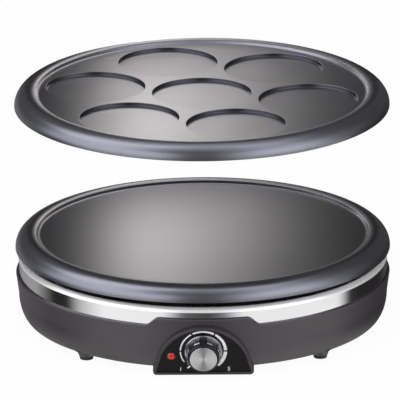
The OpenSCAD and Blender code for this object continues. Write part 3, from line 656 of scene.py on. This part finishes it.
def housing_profile(top):
    """Half section of the housing's wall, up the outside, over the lip and down the inside."""
    quarter = math.pi / 2
    rise = WAIST_Z - UNDER_Z
    lip_w, lip_h, ease = 1.2, 1.4, 0.55
    ledge_under = LEDGE_Z - 2.5
    rebate_r, rebate_z = COVER_R + 0.3, UNDER_Z + 2
    outside = [(rebate_r, UNDER_Z), (UNDER_R - 8, UNDER_Z)]
    outside += [(UNDER_R + UNDER_TURN * math.sin(a), WAIST_Z - rise * math.cos(a))
                for a in spread(0, quarter, 26)]
    outside += [(wall_r(z), z) for z in spread(WAIST_Z, top - lip_h, 14)[1:]]
    r = wall_r(top)
    lip = [(r - lip_w + lip_w * math.cos(a), top - lip_h + lip_h * math.sin(a))
           for a in spread(0, quarter, 6)[1:]]
    inner = r - WALL_T
    inside = [(inner + 0.5, top), (inner + 0.12, top - 0.15), (inner, top - ease)]
    inside += [(max(WALL_IN_R, wall_r(z) - WALL_T) if z > LIP_Z else WALL_IN_R, z)
               for z in spread(top - ease, LEDGE_Z, 6)[1:]]
    inside += [(WALL_IN_R - LEDGE_W, LEDGE_Z), (WALL_IN_R - LEDGE_W, ledge_under),
               (WAIST_R - WALL_T, ledge_under)]
    inside += [(UNDER_R + (UNDER_TURN - WALL_T) * math.sin(a),
                WAIST_Z - (rise - WALL_T) * math.cos(a)) for a in spread(quarter, 0, 8)]
    inside += [(COVER_R - 14, UNDER_Z + 4.5), (COVER_R - 14, rebate_z), (rebate_r, rebate_z)]
    return outside + lip + inside


def housing():
    """The moulded shell with its pocket for the panel, four foot cones and the gland's seat."""
    segments = 1080
    front_reach = RAISE_HALF + RAISE_RUN + 6
    columns = []
    for j in range(segments):
        a = 2 * math.pi * j / segments
        x = WAIST_R * math.sin(a)
        front = math.cos(a) > 0 and abs(x) < front_reach
        column = []
        for r, z in housing_profile(lip_height(x) if front else LIP_Z):
            p = Vector((r * math.sin(a), -r * math.cos(a), z))
            rel = p - DIAL
            u, v, w = rel.x, rel.dot(PANEL_UP), rel.dot(PANEL_OUT)
            near = front and w > POCKET_FLOOR and r > WALL_IN_R - 14
            if near and inside_panel(u, v, -POCKET_INSET):
                p += PANEL_OUT * (POCKET_FLOOR - w)
            column.append(tuple(p))
        columns.append(column)
    shape = Shape().grid(columns, close_col=True)
    cone = [(FOOT_R + 0.2, PAD_H), (FOOT_R + 0.95, PAD_H), (FOOT_R + 3.0, UNDER_Z + 0.4),
            (FOOT_R + 5.6, UNDER_Z + 1.3)]
    for at in FOOT_PLACES:
        shape.lathe(spindle(cone, [0.5, 2.6]), 64, at)
    side = [(1, 0), (GLAND_SEAT_R, 0), (GLAND_SEAT_R, GLAND_SEAT_T), (1, GLAND_SEAT_T)]
    place = (Matrix.Translation((0, WAIST_R + 1, GLAND_Z))
             @ Matrix.Rotation(math.pi / 2, 4, "X"))
    seat = Shape().lathe(spindle(side, [0.8, 0.2]), 64).placed(place)
    shape.add(seat.verts, seat.faces)
    piece("housing_shell", shape, "base", [CHARCOAL], ["base_housing"],
          sharp=40)


def steel_band():
    """Sheet standing in the lip; its top edge slopes in, turns down and ends in a flange."""
    t = BAND_T
    miter = t * math.tan(math.radians(22.5))
    slope_r, slope_z = BAND_R - BAND_SLOPE, BAND_TOP - BAND_SLOPE
    curl_r = slope_r - 1.5
    flange_r, flange_z = curl_r - BAND_FLANGE, BAND_TOP - 10.5
    outside = rounded([(BAND_R, LEDGE_Z), (BAND_R, slope_z), (slope_r, BAND_TOP),
                       (curl_r, BAND_TOP), (curl_r, flange_z), (flange_r, flange_z)],
                      [5.0, 0.9, 0.6, 0.5], 10)
    inside = rounded([(flange_r, flange_z - t), (curl_r + t, flange_z - t),
                      (curl_r + t, BAND_TOP - t), (slope_r - miter, BAND_TOP - t),
                      (BAND_R - t, slope_z - miter), (BAND_R - t, LEDGE_Z)], [0.2] * 4, 2)
    rim = [slope_z - BAND_HEM < z and r > curl_r - 0.1 for r, z in outside]
    rim += [False] * len(inside)

    # Painted highlight: these faces of the turned edge take the paler copy of the steel.
    def hem(i, j):
        return int(rim[i] and rim[(i + 1) % len(rim)])

    shape = Shape().lathe(outside + inside, 720, closed=True, kind=hem)
    piece("steel_band_sheet", shape, "base", [STEEL, HEM_PAINTED_HIGHLIGHT], ["steel_band"],
          sharp=30)


def foot_pads():
    side = [(1, 0), (FOOT_R, 0), (FOOT_R + 0.7, PAD_H), (1, PAD_H)]
    shape = Shape()
    for at in FOOT_PLACES:
        shape.lathe(spindle(side, [1.0, 0.3], 5), 56, at)
    piece("foot_pad_set", shape, "base", [RUBBER], ["foot_pads"])


housing()
steel_band()
foot_pads()


# ------------------------------------------------------------------ control panel
def from_outlines(levels, fill_last=False):
    """A surface through outlines of the panel: each level is (grow, height or its rule)."""
    rows = [[(u, v, height(v) if callable(height) else height) for u, v in panel_outline(grow)]
            for grow, height in levels]
    shape = Shape().grid(rows)
    if fill_last:
        shape.cap(rows[-1])
    return shape.placed(PANEL_PLACE)


def pod_depth(v):
    """How far back the pod's skirt reaches: less near its top, where the band is close behind."""
    return -(4 + 9 * min(1, max(0, (12 - v) / 20)))


def control_panel():
    """The pod with its proud rim, and the glossy face set inside it."""
    proud, back = 0.8, -1.5
    rim = rounded([(0, back), (0, proud), (-PANEL_RIM, proud), (-PANEL_RIM, back + 0.1)],
                  [0.8, 0.5], 5)
    inner = [(-PANEL_RIM, back), (-WALL_T, lambda v: pod_depth(v) + 0.2), (0, pod_depth)]
    piece("panel_pod", from_outlines([(0, pod_depth)] + rim + inner), "base", [POD],
          ["control_panel_frame"])
    edge = -PANEL_RIM - 0.15
    face = rounded([(edge, back), (edge, 0), (-PANEL_RIM - 1.5, 0)], [0.35], 4)
    piece("panel_face", from_outlines(face, fill_last=True), "base", [GLOSS],
          ["panel_insert"])


def pilot_lamp():
    """A dark collar round a domed red lens."""
    place = PANEL_PLACE @ Matrix.Translation((*LAMP_AT, 0))
    back, proud, dome = -4, 1.0, 1.8
    bore, barrel = LAMP_R + 0.05, LAMP_R + 0.9
    collar = rounded([(bore, back), (bore, proud), (LAMP_R + 1.4, proud), (LAMP_R + 1.9, 0),
                      (barrel, -0.1), (barrel, back)], [0.25, 0.5, 0.1, 0.1], 4)
    piece("lamp_collar", Shape().lathe(collar, 64, closed=True).placed(place), "base",
          [SATIN_BLACK], ["pilot_lamp_bezel"])
    ball = (LAMP_R ** 2 + dome ** 2) / (2 * dome)
    half = math.degrees(math.asin(LAMP_R / ball))
    bulge = arc(0, proud + dome - ball, ball, 90 - half, 90, 10)
    bulb = Shape().lathe([(0, back), (LAMP_R, back)] + bulge, 64)
    piece("lamp_lens_dome", bulb.placed(place), "base", [LENS], ["pilot_lamp_lens"])


def numeral(text, u, v):
    """A plain printed number on the panel's face."""
    size_for_height = 1.4
    curve = bpy.data.curves.new("numeral_" + text, "FONT")
    curve.body = text
    curve.size = NUMERAL_H * MM * size_for_height
    curve.align_x = "CENTER"
    curve.align_y = "CENTER"
    curve.extrude = 0.05 * MM
    holder = bpy.data.objects.new("numeral_curve", curve)
    scene.collection.objects.link(holder)
    mesh = bpy.data.meshes.new_from_object(holder)
    bpy.data.objects.remove(holder)
    mesh.materials.clear()
    mesh.materials.append(WHITE)
    mesh.transform(in_metres(PANEL_PLACE @ Matrix.Translation((u, v, 0.06))))
    made = bpy.data.objects.new("numeral_" + text, mesh)
    scene.collection.objects.link(made)
    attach(made, "base")


control_panel()
pilot_lamp()
numeral("1", -22.9, -21.6)
numeral("5", 25.6, -21.6)


# ------------------------------------------------------------------ knob
def knob_grip():
    """The black core with the pointer's fin."""
    top = KNOB_H - 0.7
    seat_r, seat_z = CAP_R + 0.1, top - 0.5
    side = [(1, KNOB_GAP), (GRIP_R, KNOB_GAP), (GRIP_R, top - 1.6), (GRIP_R - 1.4, top),
            (seat_r, top), (seat_r, seat_z), (1, seat_z)]
    core = Shape().lathe(spindle(side, [0.2, 1.2, 0.4, 0.15, 0.1], 5), 128)
    turn = Matrix.Rotation(math.radians(POINTER), 4, "Z")
    half, tip, fin_top = 1.4, SKIRT_R + 2.4, SKIRT_TOP - 3.2
    outline = rounded([(2, -half), (tip, -half), (tip, half), (2, half)], [0.8, 0.8], 5)
    levels = ((1, 1, KNOB_GAP), (1, 1, fin_top - 0.3), (0.99, 0.8, fin_top))
    rows = [[tuple(turn @ Vector((x * along, y * across, z))) for x, y in outline]
            for along, across, z in levels]
    core.grid(rows).cap(rows[-1]).cap(rows[0][::-1])
    piece("knob_grip", core.placed(PANEL_PLACE), "control_knob", [SATIN_BLACK], ["knob_core"])


def knob_skirt():
    """Flared silver skirt; its windows are sunk to the black core behind."""
    segments = 720
    low, high = KNOB_GAP, SKIRT_TOP
    foot = [(GRIP_R, low), (SKIRT_R - 0.3, low), (SKIRT_R, low + 0.4), (SKIRT_R, low + 1.1),
            (SKIRT_R - 0.35, low + 1.55)]
    flare = [(SKIRT_R - 0.6 - (SKIRT_R - 2.1 - GRIP_R) * share ** 0.8,
              low + 1.9 + (high - low - 3.1) * share) for share in spread(0, 1, 12)]
    shoulder = arc(GRIP_R + 0.55, high - 0.8, 0.8, 20, 170, 6) + [(GRIP_R - 0.3, high - 1)]
    pitch = 360 / WINDOWS
    rows, black = [], []
    for r, z in foot + flare + shoulder:
        row, flags = [], []
        for j in range(segments):
            a = 360 * j / segments
            off = (a - 90 + pitch / 2) % pitch - pitch / 2
            window = abs(math.radians(off) * (GRIP_R + 2)) < WINDOW_HALF
            pointer = abs((a - POINTER + 180) % 360 - 180) < POINTER_HALF
            sunk = z > low + 2.3 and (window or pointer)
            row.append((*polar(GRIP_R - 0.4 if sunk else r, a), z))
            flags.append(sunk)
        rows.append(row)
        black.append(flags)

    def kind(i, j):
        """Black where all four corners are sunk."""
        m = (j + 1) % segments
        return int(black[i][j] and black[i][m] and black[i + 1][j] and black[i + 1][m])

    shape = Shape().grid(rows, kind=kind).placed(PANEL_PLACE)
    piece("knob_flared_skirt", shape, "control_knob", [SILVER, SATIN_BLACK], ["knob_skirt"],
          sharp=28)


def knob_cap():
    """The spun disc, kept in its own axes for the sake of its turned grooves."""
    dished = 1.12
    side = [(1, 0), (CAP_R, 0), (CAP_R, CAP_T), (CAP_R - 1, CAP_T), (1, dished)]
    place = PANEL_PLACE @ Matrix.Translation((0, 0, KNOB_H - CAP_T))
    piece("knob_spun_cap", Shape().lathe(spindle(side, [0.1, 0.3, 0.2], 4), 128),
          "control_knob", [CAP], ["knob_cap"], local=in_metres(place))


knob_grip()
knob_skirt()
knob_cap()


# ------------------------------------------------------------------ studio, in metres
WHITE_LIGHT = (1, 1, 1, 1)
AMBIENT = 0.62
FLOOR_GLOW = 0.96
LAMP_AIM = Vector((0, 0, 0.1))
SENSOR_W = 18
PICTURE_PX = 400
PX_PER_M = 986
CAMERA_AWAY = 17.0
CAMERA_UP = 17.9
CAMERA_AIM = Vector((-0.0025, 0, 0.032))
CAMERA_ROLL = -0.35

# What reflections meet: brightness by azimuth from the front (0.5 is straight ahead), in
# five zones of height
# the table top
TABLE_ENV = [(0.0, 0.5), (0.2, 0.6), (0.3, 1.2), (0.42, 1.1), (0.47, 0.25), (0.53, 0.25),
             (0.6, 1.1), (0.75, 1.2), (0.85, 0.6), (1.0, 0.5)]
# the strip that the steel band sees
BAND_ENV = [(0.0, 0.1), (0.06, 0.3), (0.14, 0.36), (0.20, 0.02), (0.24, 0.02), (0.27, 0.55),
            (0.32, 1.0), (0.43, 0.95), (0.465, 0.12), (0.51, 0.06), (0.535, 0.2), (0.57, 0.95),
            (0.76, 0.95), (0.79, 0.02), (0.90, 0.02), (1.0, 0.1)]
# the two soft boxes beside the camera
SIDE_ENV = [(0.0, 0.08), (0.17, 0.12), (0.22, 1.6), (0.30, 2.1), (0.43, 2.2), (0.465, 0.15),
            (0.53, 0.15), (0.56, 1.2), (0.61, 2.3), (0.69, 2.0), (0.75, 0.4), (0.84, 0.08),
            (1.0, 0.08)]
# above them
HIGH_ENV = [(0.0, 0.1), (0.12, 0.2), (0.16, 2.0), (0.2, 2.9), (0.30, 2.3), (0.36, 1.9),
            (0.41, 0.6), (0.46, 0.12), (0.52, 0.12), (0.57, 0.6), (0.62, 1.5), (0.70, 1.4),
            (0.76, 0.3), (0.84, 0.08), (1.0, 0.08)]
# overhead
TOP_ENV = [(0.0, 0.9), (0.15, 1.1), (0.24, 2.6), (0.33, 2.8), (0.4, 1.0), (0.47, 0.65),
           (0.53, 0.65), (0.6, 1.0), (0.68, 2.0), (0.75, 1.8), (0.85, 1.0), (1.0, 0.9)]


def cool(stops):
    """The same greys, as bluish as daylight."""
    return [(at, (grey * 0.98, grey * 0.98, grey * 1.1)) for at, grey in stops]


# the zones over the table's, each fading in between two heights of a direction (-1 is
# straight down, 1 straight up)
ZONES = [(BAND_ENV, -0.56, -0.46), (cool(SIDE_ENV), -0.1, 0.1), (cool(HIGH_ENV), 0.52, 0.62),
         (cool(TOP_ENV), 0.8, 0.92)]

# the cards behind the object, and how their light fades from left to right and from the foot up
CARD_W = 0.5
CARD_Y = 0.4
NEAR = [(0.18, 0.0), (0.24, 0.08), (0.28, 0.34), (0.32, 0.85), (0.37, 1.2), (0.44, 1.0),
        (0.5, 0.72), (0.57, 0.46), (0.65, 0.22), (0.73, 0.08), (0.85, 0.0)]
FAR = [(0.2, 0.0), (0.27, 0.2), (0.33, 0.42), (0.38, 0.7), (0.45, 0.8), (0.57, 0.75),
       (0.63, 0.5), (0.7, 0.25), (0.78, 0.06), (0.9, 0.0)]
FAINT_FOOT = [(0.0, 0.0), (0.25, 0.15), (0.6, 1.0), (1.0, 1.0)]
FULL_FOOT = [(0.0, 0.9), (0.1, 1.0), (1.0, 1.0)]


def world():
    """White to the camera; soft boxes and dark flags to reflections; even light otherwise."""
    made = bpy.data.worlds.new("studio")
    scene.world = made
    made.use_nodes = True
    made.node_tree.nodes.clear()
    sky = Nodes(made.node_tree)
    split = sky.node("ShaderNodeSeparateXYZ")
    sky.link(sky.node("ShaderNodeTexCoord").outputs["Generated"], split.inputs["Vector"])
    x, y, z = split.outputs
    # azimuth from the front (-Y), positive towards +X, as 0..1 over -180..180 degrees
    azimuth = sky.calc("ARCTAN2", x, sky.calc("MULTIPLY", y, -1.0))
    share = sky.calc("ADD", sky.calc("MULTIPLY", azimuth, 0.5 / math.pi), 0.5)
    height = sky.calc("ADD", sky.calc("MULTIPLY", z, 0.5), 0.5)
    met = sky.ramp(share, TABLE_ENV)
    for stops, start, end in ZONES:
        mix = sky.node("ShaderNodeMix", data_type="RGBA")
        fade = sky.ramp(height, [(start / 2 + 0.5, 0.0), (end / 2 + 0.5, 1.0)])
        sky.link(fade, mix.inputs["Factor"])
        sky.link(met, mix.inputs["A"])
        sky.link(sky.ramp(share, stops), mix.inputs["B"])
        met = mix.outputs["Result"]
    glossy = sky.node("ShaderNodeBackground", Strength=1.0)
    sky.link(met, glossy.inputs["Color"])
    even = sky.node("ShaderNodeBackground", Strength=AMBIENT, Color=WHITE_LIGHT)
    seen = sky.node("ShaderNodeBackground", Strength=1.0, Color=WHITE_LIGHT)
    path = sky.node("ShaderNodeLightPath").outputs
    reflected = sky.calc("MAXIMUM", path["Is Glossy Ray"], path["Is Transmission Ray"])
    unseen = sky.mix_shaders(reflected, even.outputs[0], glossy.outputs[0])
    both = sky.mix_shaders(path["Is Camera Ray"], unseen, seen.outputs[0])
    sky.link(both, sky.node("ShaderNodeOutputWorld").inputs["Surface"])


def floor():
    """A matt floor that the camera sees as nearly white, so the object's shadow still shows."""
    bpy.ops.mesh.primitive_plane_add(size=12, location=(0, 0, 0))
    made = bpy.context.object
    made.name = "floor"
    paint = Paint("floor_white").set(base=(0.9, 0.9, 0.9), rough=0.9, spec=0.0)
    glow = paint.node("ShaderNodeEmission", Strength=1.0, Color=WHITE_LIGHT)
    path = paint.node("ShaderNodeLightPath").outputs
    share = paint.calc("MULTIPLY", path["Is Camera Ray"], FLOOR_GLOW)
    paint.show(paint.mix_shaders(share, paint.shader.outputs[0], glow.outputs[0]))
    made.data.materials.append(paint.material)
    made.visible_glossy = False


def card(name, z, height, strength, across, up):
    """A soft box behind the object, seen only by reflections, that fades by its own ramps."""
    mesh = bpy.data.meshes.new(name)
    w, h = CARD_W / 2, height / 2
    mesh.from_pydata([(-w, 0, -h), (w, 0, -h), (w, 0, h), (-w, 0, h)], [], [(0, 1, 2, 3)])
    made = bpy.data.objects.new(name, mesh)
    scene.collection.objects.link(made)
    made.location = (0, CARD_Y, z)
    paint = Paint(name)
    split = paint.node("ShaderNodeSeparateXYZ")
    paint.link(paint.coords(), split.inputs["Vector"])
    both = paint.node("ShaderNodeMix", data_type="RGBA", blend_type="MULTIPLY")
    both.inputs["Factor"].default_value = 1
    for axis, half, stops, socket in (("X", w, across, "A"), ("Z", h, up, "B")):
        place = paint.between(split.outputs[axis], start=-half, end=half)
        warm = [(at, (grey, grey * 0.975, grey * 0.965)) for at, grey in stops]
        paint.link(paint.ramp(place, warm), both.inputs[socket])
    glow = paint.node("ShaderNodeEmission", Strength=strength)
    paint.link(both.outputs["Result"], glow.inputs["Color"])
    paint.show(glow.outputs[0])
    mesh.materials.append(paint.material)
    made.visible_camera = made.visible_diffuse = made.visible_shadow = False
    made.visible_transmission = False


def lamp(name, at, size, power):
    data = bpy.data.lights.new(name, "AREA")
    data.shape = "RECTANGLE"
    data.size = data.size_y = size
    data.energy = power
    made = bpy.data.objects.new(name, data)
    scene.collection.objects.link(made)
    made.location = at
    made.rotation_euler = (LAMP_AIM - Vector(at)).to_track_quat("-Z", "Y").to_euler()
    made.visible_glossy = False


def camera():
    """A long lens from a little above the table, turned by a small roll."""
    data = bpy.data.cameras.new("camera")
    data.sensor_width = SENSOR_W
    data.lens = SENSOR_W * CAMERA_AWAY * PX_PER_M / PICTURE_PX
    data.clip_end = 100
    centre = Vector((0, 0, CREST_Z * MM))
    elevation = math.radians(CAMERA_UP)
    at = centre + CAMERA_AWAY * Vector((0, -math.cos(elevation), math.sin(elevation)))
    look = (centre + CAMERA_AIM - at).to_track_quat("-Z", "Y").to_matrix().to_4x4()
    roll = Matrix.Rotation(math.radians(CAMERA_ROLL), 4, "Z")
    made = bpy.data.objects.new("camera", data)
    scene.collection.objects.link(made)
    made.matrix_world = Matrix.Translation(at) @ look @ roll
    scene.camera = made


world()
floor()
card("low_far_card", 0.1925, 0.055, 2.1, FAR, FAINT_FOOT)
card("low_card", 0.26, 0.08, 2.75, NEAR, FULL_FOOT)
card("high_far_card", 0.345, 0.06, 2.4, FAR, FAINT_FOOT)
card("high_card", 0.435, 0.12, 2.9, NEAR, FULL_FOOT)
lamp("key", (-0.9, -1.3, 1.9), 1.4, 26)
lamp("fill", (1.4, -1.2, 1.3), 1.2, 12)
camera()
scene.view_settings.view_transform = "Standard"
